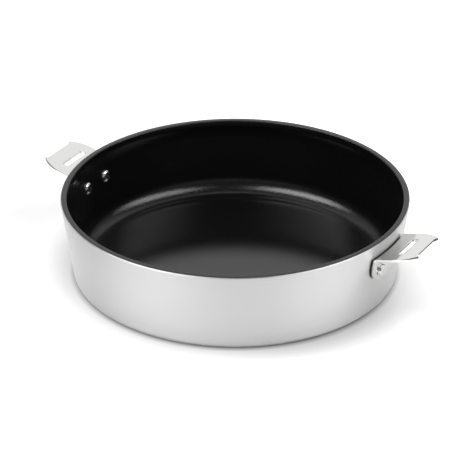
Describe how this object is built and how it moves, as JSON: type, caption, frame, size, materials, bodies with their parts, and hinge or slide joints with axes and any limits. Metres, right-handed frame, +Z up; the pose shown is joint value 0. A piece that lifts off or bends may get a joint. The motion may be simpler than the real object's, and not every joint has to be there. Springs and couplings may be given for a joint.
{
  "type": "saute pan",
  "caption": "Deep round saute pan with a flared satin aluminium wall, black non-stick inside and riveted, slotted steel side brackets for a clip-on handle.",
  "frame": {"origin": "on the table under the middle of the pan, in the plane of the flush base", "axes": "+X through the middle of the right bracket, -X through the left one, +Z up through the open mouth; a viewer stands at -Y"},
  "size_m": [0.3582, 0.291, 0.07],
  "materials": {
    "satin_aluminium": "satin brushed, neutral light grey",
    "black_nonstick": "semi-gloss black non-stick with a fine grain",
    "magnetic_steel": "turned, fine circular lines",
    "stainless_steel": "satin",
    "polished_steel": "polished"
  },
  "bodies": {
    "root": {"pan_body": "satin_aluminium", "nonstick_coating": "black_nonstick", "induction_disc": "magnetic_steel", "bracket_right": "stainless_steel", "bracket_left": "stainless_steel", "rivet_right_front": "polished_steel", "rivet_right_back": "polished_steel", "rivet_left_front": "polished_steel", "rivet_left_back": "polished_steel"}
  },
  "joints": []
}
